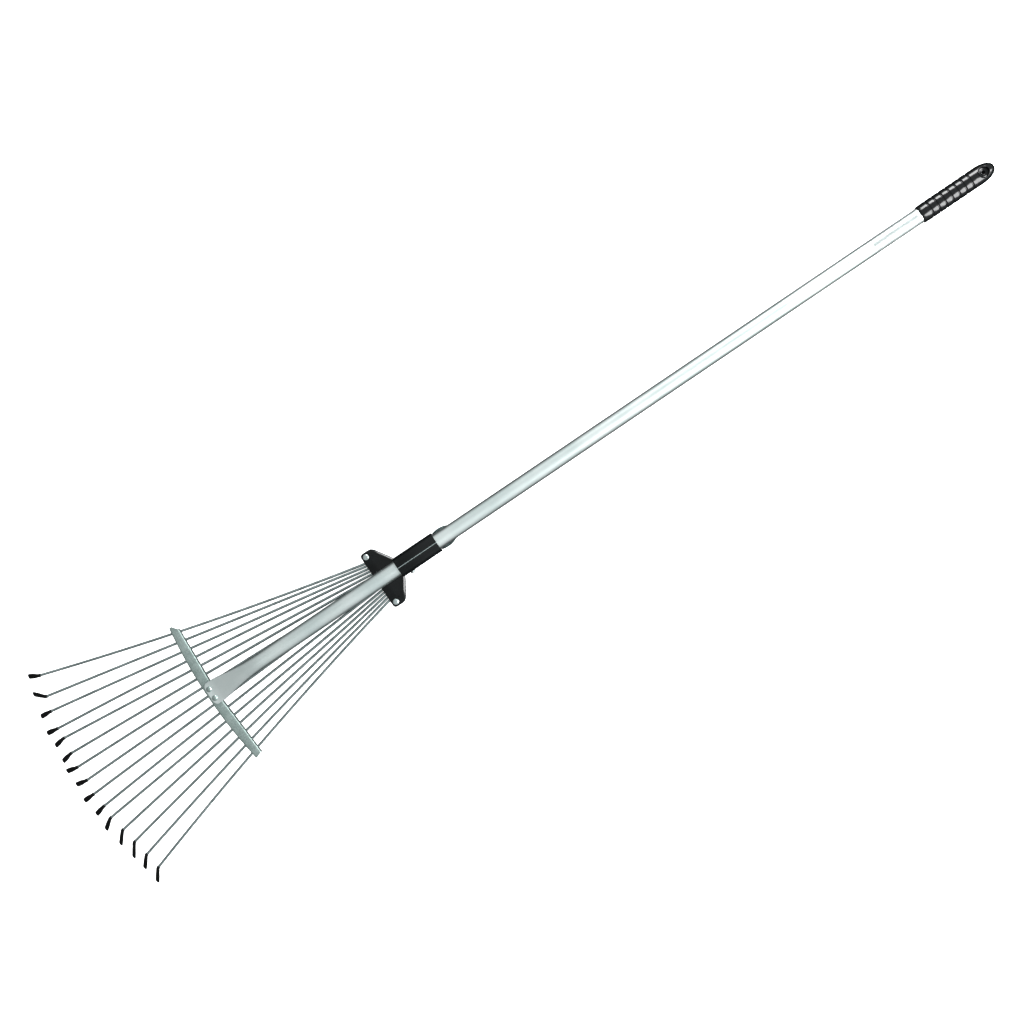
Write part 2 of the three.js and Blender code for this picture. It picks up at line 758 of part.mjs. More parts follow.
const rake = new THREE.Group();
rake.add(piece('handle_tube', handleTube(), brightZinc));
rake.add(piece('end_grip', endGrip(), blackVinyl));
rake.add(piece('blank_label', blankLabel(), labelFilm));
rake.add(piece('spreader_bar', spreaderBar(tines), galvanised));
rake.add(piece('bar_rivet_left', barRivet(1), galvanised));
rake.add(piece('bar_rivet_right', barRivet(-1), galvanised));
rake.add(piece('hub_body', hubBody(), blackNylon));
rake.add(piece('hub_cover', hubCover(tines), blackNylon));
rake.add(piece('hub_screw_left', hubScrew(1), pressedSteel));
rake.add(piece('hub_screw_right', hubScrew(-1), pressedSteel));
rake.add(piece('clamp_shoe', clampShoe(), shoeBrass));
rake.add(piece('clamp_lever', clampLever(), pressedSteel));
rake.add(piece('lever_bolt', leverBolt(), pressedSteel));
rake.add(piece('lever_nut', leverNut(), pressedSteel));
tines.forEach((tine, number) => {
  const label = String(number + 1).padStart(2, '0');
  rake.add(placeTinePiece(piece(`tine_${label}`, tineWire(tine), springSteel), tine));
  rake.add(placeTinePiece(piece(`tip_coat_${label}`, tineTipCoat(tine), blackDip), tine));
});

// Tip the rake onto its tine tips and its grip, and put the origin under the middle of it.
const tipDrop = tipLength * Math.sin(tipBendAngle) + tipBendRadius * (1 - Math.cos(tipBendAngle));
const tipZ = tinePlaneZ - tipDrop - tipHalfThickness;
const restTilt = Math.atan2(-gripRadius - tipZ, gripShoulderX - tinePivotX + tineReach);
rake.rotation.y = restTilt;
rake.updateMatrixWorld(true);
const bounds = new THREE.Box3().setFromObject(rake, true);
const middle = bounds.getCenter(new THREE.Vector3());
rake.position.set(-middle.x, -middle.y, -bounds.min.z);
rake.updateMatrixWorld(true);

const leafRake = new THREE.Group();
leafRake.add(rake);

export default leafRake;
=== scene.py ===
import json
import math

import bmesh
import bpy
from mathutils import Matrix, Vector


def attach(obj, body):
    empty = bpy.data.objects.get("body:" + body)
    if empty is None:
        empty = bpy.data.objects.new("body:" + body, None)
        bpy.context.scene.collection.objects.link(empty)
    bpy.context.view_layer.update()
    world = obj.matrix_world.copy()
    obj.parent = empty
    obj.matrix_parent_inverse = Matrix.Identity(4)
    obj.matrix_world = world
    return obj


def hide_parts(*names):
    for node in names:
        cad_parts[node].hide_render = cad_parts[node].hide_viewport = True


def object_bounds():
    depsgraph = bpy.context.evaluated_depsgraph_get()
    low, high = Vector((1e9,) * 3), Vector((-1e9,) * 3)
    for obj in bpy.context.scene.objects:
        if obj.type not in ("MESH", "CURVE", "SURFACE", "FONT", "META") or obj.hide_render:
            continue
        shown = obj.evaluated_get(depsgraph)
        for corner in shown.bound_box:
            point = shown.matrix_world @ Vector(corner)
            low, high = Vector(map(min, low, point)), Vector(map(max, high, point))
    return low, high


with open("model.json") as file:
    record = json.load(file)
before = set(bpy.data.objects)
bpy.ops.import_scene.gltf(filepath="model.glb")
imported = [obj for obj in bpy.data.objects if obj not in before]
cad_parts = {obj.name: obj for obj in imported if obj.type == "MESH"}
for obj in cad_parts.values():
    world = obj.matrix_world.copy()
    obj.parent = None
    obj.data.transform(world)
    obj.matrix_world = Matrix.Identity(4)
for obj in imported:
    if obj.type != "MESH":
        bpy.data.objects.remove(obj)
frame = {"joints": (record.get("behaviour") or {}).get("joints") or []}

cad_low, cad_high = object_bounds()

# ------------------------------------------------------------------------------------------------
# The rake's own frame, in millimetres: X along the handle towards the grip, Y to the left and Z up,
# with the handle's axis at Y = 0, Z = 0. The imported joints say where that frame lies.

MM = 0.001
joints = {joint["name"]: joint for joint in frame["joints"]}
along = Vector(joints["hub_slide"]["axis"])
upward = Vector(joints["tine_01_hinge"]["axis"])
across = upward.cross(along)
LEVER_PIVOT = (-46.0, -20.0)  # X and Z of the lever's bolt
to_lever_pivot = along * LEVER_PIVOT[0] + upward * LEVER_PIVOT[1]
handle_origin = Vector(joints["lever_hinge"]["pos_m"]) - MM * to_lever_pivot
RAKE = Matrix.Translation(handle_origin) @ Matrix((along, across, upward)).transposed().to_4x4()
RAKE = RAKE @ Matrix.Scale(MM, 4)

TUBE_RADIUS = 12.0
TUBE_WALL = 1.0
TUBE_FRONT = -404.0
TUBE_REAR = 985.0
TONGUE_HALF_THICKNESS = 1.1
FLATTENING = (-388.0, -307.0)  # where the tube turns from tongue to round

GRIP_FRONT = 883.6
GRIP_SHOULDER = 990.0
GRIP_TIP = 1017.5
GRIP_RADIUS = 14.0
GROOVE_COUNT = 7
FIRST_GROOVE = 900.5
GROOVE_PITCH = 12.2
HANGING_HOLE = (997.0, 3.1)  # X and radius
HOLE_BOWL = (9.5, 6.5)  # radius of the bowl round its upper end, and the height of the bowl's floor

TINE_COUNT = 15
TINE_RADIUS = 1.9
TINE_PLANE = -17.6
TINE_REACH = 540.0
TINE_PIVOT = -88.0
TINE_PIVOT_PITCH = 4.37
TINE_BAR_PITCH = 15.22
TIP_BEND = math.radians(56.0)
TIP_BEND_RADIUS = 6.0
TIP_LENGTH = 36.0
TIP_HALF_WIDTH = 3.1
TIP_HALF_THICKNESS = 1.0
COAT = 0.7  # thickness of the dip coat with its fit
TINE_TWISTS = (-8, -19, 2, -1, 7, 7, -6, -6, -1, 4, 15, 24, 28, 21, 23)
TINE_DRIFTS = (-10, 0.4, 0.8, 5.7, -0.3, 1.8, 1.5, 2.4, 2.3, 2.6, -0.7, 1.8, 3.7, 6.9, 9.9)
TINE_EXTRA_REACHES = (-12, -9, -5.5, -2.5, -4.5, -2.5, 0.5, -0.5, 3.5, 1, 4, 1.5, 0, 0, 1.5)

HUB_TRAVEL = 90.0
SLOT_CLEARANCE = 0.7
BAR_X = -400.0
BAR_WIDTH = 15.0  # at the middle
BAR_HALF_LENGTH = 117.5
BAR_TOP = -12.3
BAR_BOTTOM = -24.0
BAR_SHEET = 1.5
BAR_SWEEP = 0.053  # slope of the rear edges
BAR_FRONT_BOW = 9.0  # how far the front edge curves back at the ends
RIVET = (-399.0, 7.8)  # X and Y
RIVET_DOME = (4.4, 2.4)  # radius and height

PLATE_FRONT = -99.2
PLATE_REAR = -58.5
PLATE_HALF_WIDTH = 47.5
PLATE_CORNER = -80.5  # where the slanted rear edges begin
PLATE_TOP = -12.4
PLATE_THICKNESS = 3.0
PLATE_RIM = -19.6
COVER = (-25.4, -19.9)  # Z of its underside and its top
HUB_SCREW = (-92.4, 40.3)  # X and Y
PIP = (-84.2, 36.8)  # X and Y
SEAM_OFFSET = -0.9  # Y of the mould seam along the top of the sleeve
COVER_HALF_WIDTH = 45.5
SLEEVE = (-61.0, 9.0)  # X of its front and its rear
SLEEVE_RADIUS = 15.8
SLEEVE_BOTTOM = -26.0
BAY_HALF_WIDTH = 9.2
BOLT_RADIUS = 2.5
NUT_SEAT = 13.1  # Y of the seat's floor
CAM_RADIUS = 5.4
LEVER_HALF_WIDTH = 8.2
LEVER_SHEET = 1.6
SPOON = (21.0, 24.0, 15.8)  # centre X, half length, half width
SPOON_BOTTOM = -20.6
SPOON_RISE = 14.0
LABEL = (800.0, 878.0)  # X of its front and its rear
LABEL_HALF_ANGLE = math.radians(62.0)


# ------------------------------------------------------------------------------------------------
# Shaping helpers. Each returns a bmesh in the rake's frame, in millimetres.


def recalculated(bm):
    bmesh.ops.recalc_face_normals(bm, faces=bm.faces)
    return bm


def loft(stations, sides):
    """A closed bar through its stations: each maps a point of the unit circle to a place in space."""
    bm = bmesh.new()
    ring = bmesh.ops.create_circle(bm, segments=sides, radius=1.0)["verts"]
    edges = list(bm.edges)
    rings = [ring]
    first_edges = edges
    for _ in stations[1:]:
        grown = bmesh.ops.extrude_edge_only(bm, edges=edges)["geom"]
        rings.append([item for item in grown if isinstance(item, bmesh.types.BMVert)])
        edges = [item for item in grown if isinstance(item, bmesh.types.BMEdge) and item.is_boundary]
    for ring, station in zip(rings, stations):
        for vert in ring:
            vert.co = station(vert.co.x, vert.co.y)
    bmesh.ops.edgeloop_fill(bm, edges=first_edges)
    bmesh.ops.edgeloop_fill(bm, edges=edges)
    return recalculated(bm)


def turned(profile, steps, axis=(1, 0, 0), side=(0, 0, 1)):
    """A body of revolution from (along, radius) points about an axis through the origin."""
    bm = bmesh.new()
    axis, side = Vector(axis), Vector(side)
    verts = [bm.verts.new(axis * place + side * radius) for place, radius in profile]
    edges = [bm.edges.new(pair) for pair in zip(verts, verts[1:])]
    bmesh.ops.spin(
        bm, geom=verts + edges, cent=(0, 0, 0), axis=axis, angle=math.tau, steps=steps, use_merge=True
    )
    bmesh.ops.remove_doubles(bm, verts=bm.verts, dist=1e-3)
    return recalculated(bm)


def slab(outline, low, high, axis="Z"):
    """A flat outline given a thickness along one axis. The outline's pairs are the other two axes."""
    place = {
        "Z": lambda a, b, c: (a, b, c),
        "Y": lambda a, b, c: (a, c, b),
        "X": lambda a, b, c: (c, a, b),
    }[axis]
    bm = bmesh.new()
    face = bm.faces.new([bm.verts.new(place(a, b, low)) for a, b in outline])
    grown = bmesh.ops.extrude_face_region(bm, geom=[face])["geom"]
    moved = [item for item in grown if isinstance(item, bmesh.types.BMVert)]
    bmesh.ops.translate(bm, verts=moved, vec=place(0, 0, high - low))
    open_edges = [edge for edge in bm.edges if edge.is_boundary]
    if open_edges:
        bmesh.ops.holes_fill(bm, edges=open_edges)
    return recalculated(bm)


def soften(bm, width, segments=3, sharper_than=30.0):
    """Rounds the edges that turn by more than an angle."""
    limit = math.radians(sharper_than)
    edges = [edge for edge in bm.edges if len(edge.link_faces) == 2 and edge.calc_face_angle() > limit]
    bmesh.ops.bevel(
        bm, geom=edges, offset=width, segments=segments, profile=0.5, affect="EDGES", material=-1,
        clamp_overlap=True,
    )
    return bm


def moved(bm, *steps):
    for matrix in steps:
        bmesh.ops.transform(bm, matrix=matrix, verts=bm.verts)
    return bm


def upright(profile, steps):
    """A body of revolution about the vertical, from (height, radius) points."""
    return turned(profile, steps, axis=(0, 0, 1), side=(1, 0, 0))


def sideways(profile, steps, towards=1):
    """A body of revolution about the Y axis, from (Y, radius) points."""
    return turned(profile, steps, axis=(0, towards, 0), side=(1, 0, 0))


def at_lever_pivot(bm):
    return moved(bm, Matrix.Translation((LEVER_PIVOT[0], 0, LEVER_PIVOT[1])))


def rod(start, end, radius):
    """The profile of a plain rod or of the drill for a hole."""
    return [(start, 0.0), (start, radius), (end, radius), (end, 0.0)]


def workpiece(bm, name="workpiece"):
    mesh = bpy.data.meshes.new(name)
    bm.to_mesh(mesh)
    bm.free()
    made = bpy.data.objects.new(name, mesh)
    bpy.context.scene.collection.objects.link(made)
    return made


def worked(body, tools, operation="DIFFERENCE"):
    """Cuts the tools out of a body, or joins them to it, and clears the tools away."""
    host = workpiece(body)
    cutters = [workpiece(tool) for tool in tools]
    for cutter in cutters:
        step = host.modifiers.new("work", "BOOLEAN")
        step.operation = operation
        step.solver = "EXACT"
        step.object = cutter
    depsgraph = bpy.context.evaluated_depsgraph_get()
    mesh = bpy.data.meshes.new_from_object(host.evaluated_get(depsgraph))
    bm = bmesh.new()
    bm.from_mesh(mesh)
    bpy.data.meshes.remove(mesh)
    for spare in [host, *cutters]:
        bpy.data.objects.remove(spare)
    bmesh.ops.remove_doubles(bm, verts=bm.verts, dist=1e-3)
    return bm


def smooth_share(value):
    value = min(1.0, max(0.0, value))
    return value * value * (3 - 2 * value)


def mix(low, high, share):
    return low + (high - low) * share


def rounded(corners, radius, steps=5):
    """An outline with its corners rounded, each by the same radius."""
    outline = []
    for before, corner, after in zip(corners[-1:] + corners[:-1], corners, corners[1:] + corners[:1]):
        corner, before, after = Vector(corner), Vector(before), Vector(after)
        start = corner + (before - corner).normalized() * radius
        end = corner + (after - corner).normalized() * radius
        for step in range(steps + 1):
            share = step / steps
            outline.append(start * (1 - share) ** 2 + corner * 2 * share * (1 - share) + end * share**2)
    return [tuple(point) for point in outline]


# ------------------------------------------------------------------------------------------------
# Materials.


def srgb(code):
    """Linear colour of an sRGB hex code."""
    channels = [int(code[place : place + 2], 16) / 255 for place in (1, 3, 5)]
    return [c / 12.92 if c <= 0.04045 else ((c + 0.055) / 1.055) ** 2.4 for c in channels] + [1.0]


def add(tree, kind, settings=None, values=None, links=None):
    """Adds a node with its settings, its socket values and the sockets that feed it."""
    node = tree.nodes.new(kind)
    for name, value in (settings or {}).items():
        setattr(node, name, value)
    for socket, value in (values or {}).items():
        node.inputs[socket].default_value = value
    for socket, source in (links or {}).items():
        tree.links.new(source, node.inputs[socket])
    return node


def per_metre(millimetres):
    """The scale of a pattern on Object coordinates whose features are this large."""
    return 1.0 / (millimetres * MM)


def new_material(name):
    material = bpy.data.materials.new(name)
    material.use_nodes = True
    tree = material.node_tree
    tree.nodes.clear()
    surface = tree.nodes.new("ShaderNodeBsdfPrincipled")
    output = tree.nodes.new("ShaderNodeOutputMaterial")
    tree.links.new(surface.outputs[0], output.inputs["Surface"])
    coords = tree.nodes.new("ShaderNodeTexCoord").outputs["Object"]
    return material, tree, surface, coords


def ramp(tree, source, stops):
    """Turns a pattern's value into a colour or a grey, by hex stops at their places."""
    node = add(tree, "ShaderNodeValToRGB", links={"Fac": source})
    elements = node.color_ramp.elements
    for element, (place, code) in zip([elements[0], elements[1]], [stops[0], stops[-1]]):
        element.position, element.color = place, srgb(code)
    for place, code in stops[1:-1]:
        elements.new(place).color = srgb(code)
    return node.outputs["Color"]


def noise(tree, coords, size_mm, detail=3.0, roughness=0.5, stretch=None):
    """Cloudy noise with features of a size. Stretch draws it out along the handle."""
    if stretch:
        coords = add(
            tree, "ShaderNodeMapping", values={"Scale": (1 / stretch, 1, 1)}, links={"Vector": coords}
        ).outputs["Vector"]
    node = add(
        tree, "ShaderNodeTexNoise",
        values={"Scale": per_metre(size_mm), "Detail": detail, "Roughness": roughness},
        links={"Vector": coords},
    )
    return node.outputs["Fac"]


def spread(tree, source, low, high):
    """Maps a pattern's 0.3 to 0.7 to a range of values."""
    node = add(
        tree, "ShaderNodeMapRange",
        values={"From Min": 0.3, "From Max": 0.7, "To Min": low, "To Max": high},
        links={"Value": source},
    )
    return node.outputs["Result"]


def bump(tree, source, depth_mm, strength=1.0):
    node = add(
        tree, "ShaderNodeBump",
        values={"Strength": strength, "Distance": depth_mm * MM},
        links={"Height": source},
    )
    return node.outputs["Normal"]


def bright_zinc():
    """Bright zinc-plated drawn steel tube: a clean silver with long faint draw lines in its gloss."""
    material, tree, surface, coords = new_material("bright_zinc_plated_tube")
    clouds = noise(tree, coords, 60.0, 4.0)
    lines = noise(tree, coords, 0.9, 2.0, stretch=60.0)
    tree.links.new(ramp(tree, clouds, [(0.35, "#DFE8E7"), (0.65, "#EDF3F2")]), surface.inputs["Base Color"])
    tree.links.new(spread(tree, lines, 0.34, 0.4), surface.inputs["Roughness"])
    surface.inputs["Metallic"].default_value = 1.0
    return material


def galvanised_sheet():
    """Zinc-coated sheet: pale grey-green, with fine mottling and duller clouds where it was handled."""
    material, tree, surface, coords = new_material("galvanised_sheet")
    clouds = noise(tree, coords, 16.0, 4.0)
    mottling = noise(tree, coords, 2.0, 3.0)
    both = add(tree, "ShaderNodeMath", {"operation": "ADD"}, links={0: clouds, 1: mottling}).outputs[0]
    share = add(tree, "ShaderNodeMath", {"operation": "MULTIPLY"}, {1: 0.5}, {0: both}).outputs[0]
    tree.links.new(
        ramp(tree, share, [(0.35, "#9DABA8"), (0.5, "#B0BDBA"), (0.65, "#C3CFCC")]),
        surface.inputs["Base Color"],
    )
    tree.links.new(spread(tree, share, 0.48, 0.36), surface.inputs["Roughness"])
    tree.links.new(bump(tree, mottling, 0.02, 0.4), surface.inputs["Normal"])
    surface.inputs["Metallic"].default_value = 0.9
    return material


def spring_wire():
    """Drawn spring-steel wire with thin zinc: mid grey, with fine grain and duller patches."""
    material, tree, surface, coords = new_material("zinc_plated_spring_wire")
    patches = noise(tree, coords, 14.0, 4.0)
    grain = noise(tree, coords, 0.5, 2.0)
    tree.links.new(
        ramp(tree, patches, [(0.3, "#919B9B"), (0.55, "#A9B3B3"), (0.8, "#BCC5C5")]),
        surface.inputs["Base Color"],
    )
    tree.links.new(spread(tree, patches, 0.36, 0.24), surface.inputs["Roughness"])
    tree.links.new(bump(tree, grain, 0.01, 0.4), surface.inputs["Normal"])
    surface.inputs["Metallic"].default_value = 1.0
    return material


def pressed_steel():
    """Bright zinc-plated pressing: pale silver with the soft waviness of formed sheet."""
    material, tree, surface, coords = new_material("bright_zinc_plated_pressing")
    waves = noise(tree, coords, 8.0, 2.0)
    tree.links.new(ramp(tree, waves, [(0.3, "#BAC4C4"), (0.7, "#D8DFDF")]), surface.inputs["Base Color"])
    tree.links.new(spread(tree, waves, 0.34, 0.46), surface.inputs["Roughness"])
    tree.links.new(bump(tree, waves, 0.05, 0.4), surface.inputs["Normal"])
    surface.inputs["Metallic"].default_value = 1.0
    return material


def hub_nylon():
    """Glass-filled black nylon: a cold black with faint flow marks, and a pale painted highlight along the
    mould seam on top.
    """
    material, tree, surface, coords = new_material("moulded_black_nylon")
    flow = noise(tree, coords, 12.0, 3.0, stretch=3.0)
    grain = noise(tree, coords, 0.7, 2.0)
    place = add(tree, "ShaderNodeSeparateXYZ", links={"Vector": coords}).outputs
    at_seam = add(
        tree, "ShaderNodeMath", {"operation": "COMPARE"}, {1: SEAM_Y, 2: 0.6 * MM}, {0: place["Y"]}
    ).outputs[0]
    on_sleeve = add(
        tree, "ShaderNodeMath", {"operation": "GREATER_THAN"}, {1: SLEEVE_CREST}, {0: place["Z"]}
    ).outputs[0]
    painted_seam_highlight = add(tree, "ShaderNodeMath", {"operation": "MULTIPLY"}, links={0: at_seam, 1: on_sleeve})
    black = ramp(tree, flow, [(0.3, "#0A0E0F"), (0.7, "#111618")])
    # Along the seam on top of the sleeve the black is mixed to pale grey #8C9696, a painted highlight.
    tone = add(
        tree, "ShaderNodeMix", {"data_type": "RGBA"}, {"B": srgb("#8C9696")},
        {"Factor": painted_seam_highlight.outputs[0], "A": black},
    )
    tree.links.new(tone.outputs["Result"], surface.inputs["Base Color"])
    tree.links.new(spread(tree, flow, 0.15, 0.24), surface.inputs["Roughness"])
    tree.links.new(bump(tree, grain, 0.02, 0.4), surface.inputs["Normal"])
    surface.inputs["IOR"].default_value = 1.53
    return material


def grip_vinyl():
    """Soft black vinyl, moulded glossy: deep black with slow waves that break up its reflections."""
    material, tree, surface, coords = new_material("moulded_black_vinyl")
    waves = noise(tree, coords, 10.0, 2.0, stretch=3.0)
    dust = noise(tree, coords, 1.2, 3.0)
    tree.links.new(ramp(tree, dust, [(0.35, "#0B0D0E"), (0.75, "#131617")]), surface.inputs["Base Color"])
    tree.links.new(spread(tree, dust, 0.14, 0.22), surface.inputs["Roughness"])
    tree.links.new(bump(tree, waves, 0.06, 0.4), surface.inputs["Normal"])
    surface.inputs["IOR"].default_value = 1.54
    return material


def dip_coat():
    """Black vinyl dip: matt, a little lumpy, with greyer rubbed places towards the ends."""
    material, tree, surface, coords = new_material("matt_black_dip_coat")
    painted_seam_highlight = noise(tree, coords, 4.0, 4.0)
    lumps = noise(tree, coords, 2.0, 2.0)
    tree.links.new(
        ramp(tree, painted_seam_highlight, [(0.3, "#090B0B"), (0.6, "#101313"), (0.85, "#222627")]),
        surface.inputs["Base Color"],
    )
    tree.links.new(spread(tree, painted_seam_highlight, 0.5, 0.68), surface.inputs["Roughness"])
    tree.links.new(bump(tree, lumps, 0.12, 0.6), surface.inputs["Normal"])
    surface.inputs["IOR"].default_value = 1.5
    return material


def shoe_brass():
    """Plain brass, turned and rubbed by the tube: warm yellow with dull brown patches."""
    material, tree, surface, coords = new_material("plain_brass")
    tarnish = noise(tree, coords, 5.0, 4.0)
    tree.links.new(ramp(tree, tarnish, [(0.3, "#8A6A34"), (0.7, "#C9A45C")]), surface.inputs["Base Color"])
    tree.links.new(spread(tree, tarnish, 0.5, 0.32), surface.inputs["Roughness"])
    surface.inputs["Metallic"].default_value = 1.0
    return material


def label_film():
    """Blank metallised polyester film: pale silver-grey and satin, a shade duller than the tube."""
    material, tree, surface, coords = new_material("blank_metallised_film")
    fibres = noise(tree, coords, 3.0, 3.0)
    tree.links.new(ramp(tree, fibres, [(0.3, "#B4BABA"), (0.7, "#C0C6C6")]), surface.inputs["Base Color"])
    tree.links.new(spread(tree, fibres, 0.3, 0.4), surface.inputs["Roughness"])
    surface.inputs["Metallic"].default_value = 0.8
    return material


SEAM_Y = handle_origin.y + SEAM_OFFSET * MM
SLEEVE_CREST = handle_origin.z + 12.0 * MM  # only the top of the sleeve is higher
TUBE_ZINC = bright_zinc()
BAR_ZINC = galvanised_sheet()
WIRE = spring_wire()
PRESSING = pressed_steel()
NYLON = hub_nylon()
VINYL = grip_vinyl()
DIP = dip_coat()
BRASS = shoe_brass()
FILM = label_film()


def finished(bm, name, material, body, node, crease=35.0):
    """Puts a shaped piece in its place in the rake, gives it its finish and hangs it on its body."""
    bmesh.ops.transform(bm, matrix=RAKE, verts=bm.verts)
    mesh = bpy.data.meshes.new(name)
    bm.to_mesh(mesh)
    bm.free()
    mesh.materials.append(material)
    mesh.shade_smooth()
    mesh.set_sharp_from_angle(angle=math.radians(crease))
    piece = bpy.data.objects.new(name, mesh)
    bpy.context.scene.collection.objects.link(piece)
    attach(piece, body)
    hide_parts(node)
    return piece


# ------------------------------------------------------------------------------------------------
# Handle tube.


def tube_section(x, half_thickness, shrink=0.0, narrowest=None):
    """A section of the tube, round or pressed flat, which keeps the length of the wall round it."""
    half_width = half_thickness + (math.pi / 2) * (TUBE_RADIUS - half_thickness)
    if narrowest is not None:
        half_width = min(half_width, narrowest)
    half_width -= shrink
    centre = half_thickness - TUBE_RADIUS
    thin = half_thickness - shrink
    flat = half_width - thin

    def place(cos, sin):
        spread_out = math.copysign(1 - (1 - min(1.0, abs(cos))) ** 2, cos)
        return (x, flat * spread_out + thin * cos, centre + thin * sin)

    return place


def tube_thickness(x):
    """Half the tube's thickness where it turns from tongue to round."""
    share = (x - FLATTENING[0]) / (FLATTENING[1] - FLATTENING[0])
    share = min(1.0, max(0.0, share))
    return mix(TONGUE_HALF_THICKNESS, TUBE_RADIUS, math.sin(share * math.pi / 2))


TONGUE_END = ((0.0, 12.6), (0.4, 14.2), (1.2, 15.6), (2.6, 17.0), (4.6, None))  # inset and half width


def handle_tube():
    steps = 26
    chamfer = 0.3
    flattening = [mix(*FLATTENING, step / steps) for step in range(steps + 1)]
    stations = []
    for inset, width in TONGUE_END:
        stations.append(tube_section(TUBE_FRONT + inset, TONGUE_HALF_THICKNESS, 0.0, width))
    stations += [tube_section(x, tube_thickness(x)) for x in flattening]
    straight = [-200.0, -100.0, 0.0, 150.0, 300.0, 450.0, 600.0, 750.0, 860.0, TUBE_REAR - chamfer]
    stations += [tube_section(x, TUBE_RADIUS) for x in straight]
    stations += [tube_section(TUBE_REAR, TUBE_RADIUS, chamfer)]
    stations += [tube_section(TUBE_REAR, TUBE_RADIUS, TUBE_WALL)]
    stations += [tube_section(x, TUBE_RADIUS, TUBE_WALL) for x in reversed(straight[:-1])]
    inside = [x for x in flattening if tube_thickness(x) > 2.2]
    stations += [tube_section(x, tube_thickness(x), TUBE_WALL) for x in reversed(inside)]
    tube = loft(stations, 64)
    return finished(tube, "plated_tube", TUBE_ZINC, "handle", "handle_tube")


# ------------------------------------------------------------------------------------------------
# End grip and label.


GROOVE_SECTION = (
    (-2.2, 0.0), (-1.5, 0.06), (-1.1, 0.3), (-0.7, 0.72), (0.0, 0.9),
    (0.7, 0.72), (1.1, 0.3), (1.5, 0.06), (2.2, 0.0),
)  # place along the grip and depth, across one ring groove


def grip_profile():
    bore = TUBE_RADIUS + 0.15
    profile = [(TUBE_REAR + 1, 0.0), (TUBE_REAR + 1, bore), (GRIP_FRONT, bore)]
    profile += [(GRIP_FRONT, GRIP_RADIUS - 1.1), (GRIP_FRONT + 0.4, GRIP_RADIUS - 0.75)]
    profile += [(GRIP_FRONT + 1.2, GRIP_RADIUS - 0.5), (GRIP_FRONT + 5, GRIP_RADIUS - 0.3)]
    for groove in range(GROOVE_COUNT):
        middle = FIRST_GROOVE + groove * GROOVE_PITCH
        profile += [(middle + place, GRIP_RADIUS - depth) for place, depth in GROOVE_SECTION]
    nose_steps = 14
    for step in range(nose_steps + 1):
        angle = step / nose_steps * math.pi / 2
        radius = 0.0 if step == nose_steps else GRIP_RADIUS * math.cos(angle) ** 0.85
        profile.append((mix(GRIP_SHOULDER, GRIP_TIP, math.sin(angle)), radius))
    return profile


def hanging_hole_drill():
    """A drill for the hanging hole, which opens upwards into its bowl."""
    x, radius = HANGING_HOLE
    bowl, floor = HOLE_BOWL
    radius -= 0.5  # the moulded throat is a little tighter than the stated hole
    hole = [(-GRIP_RADIUS, 0.0), (-GRIP_RADIUS, radius), (floor - 0.6, radius), (floor, radius + 0.6)]
    for step in range(9):
        angle = step / 8 * math.pi / 2
        far = mix(radius + 1.2, bowl, math.sin(angle))
        hole.append((floor + 0.2 + (GRIP_RADIUS - floor - 0.2) * (1 - math.cos(angle)) ** 1.2, far))
    hole.append((GRIP_RADIUS, 0.0))
    return moved(upright(hole, 48), Matrix.Translation((x, 0, 0)))


def on_bowl_rim(edge):
    x = HANGING_HOLE[0]
    bowl, floor = HOLE_BOWL
    corner = edge.verts[0].co
    return math.hypot(corner.x - x, corner.y) < bowl + 1.0 and corner.z > floor + 2


def end_grip():
    cap = worked(turned(grip_profile(), 64), [hanging_hole_drill()])
    sharp = [edge for edge in cap.edges if edge.is_manifold and edge.calc_face_angle() > math.radians(50.0)]
    rim = [edge for edge in sharp if on_bowl_rim(edge)]
    bmesh.ops.bevel(
        cap, geom=rim, offset=0.9, segments=3, profile=0.5, affect="EDGES", material=-1, clamp_overlap=True
    )
    return finished(cap, "vinyl_grip", VINYL, "handle", "end_grip", 40.0)


def blank_label():
    inner = TUBE_RADIUS + 0.05
    outer = TUBE_RADIUS + 0.22
    steps = 28
    angles = [mix(-LABEL_HALF_ANGLE, LABEL_HALF_ANGLE, step / steps) for step in range(steps + 1)]
    outline = [(outer * math.sin(a), outer * math.cos(a)) for a in angles]
    outline += [(inner * math.sin(a), inner * math.cos(a)) for a in reversed(angles)]
    film = slab(outline, *LABEL, axis="X")
    return finished(film, "film_label", FILM, "handle", "blank_label")


# ------------------------------------------------------------------------------------------------
# Tines and their dip-coated tips.


def bar_front_at(y):
    return BAR_X - BAR_WIDTH / 2 + BAR_FRONT_BOW * (y / BAR_HALF_LENGTH) ** 2


def bar_rear_at(y):
    return BAR_X + BAR_WIDTH / 2 + BAR_SWEEP * abs(y)


def bar_x_at(y):
    return (bar_front_at(y) + bar_rear_at(y)) / 2


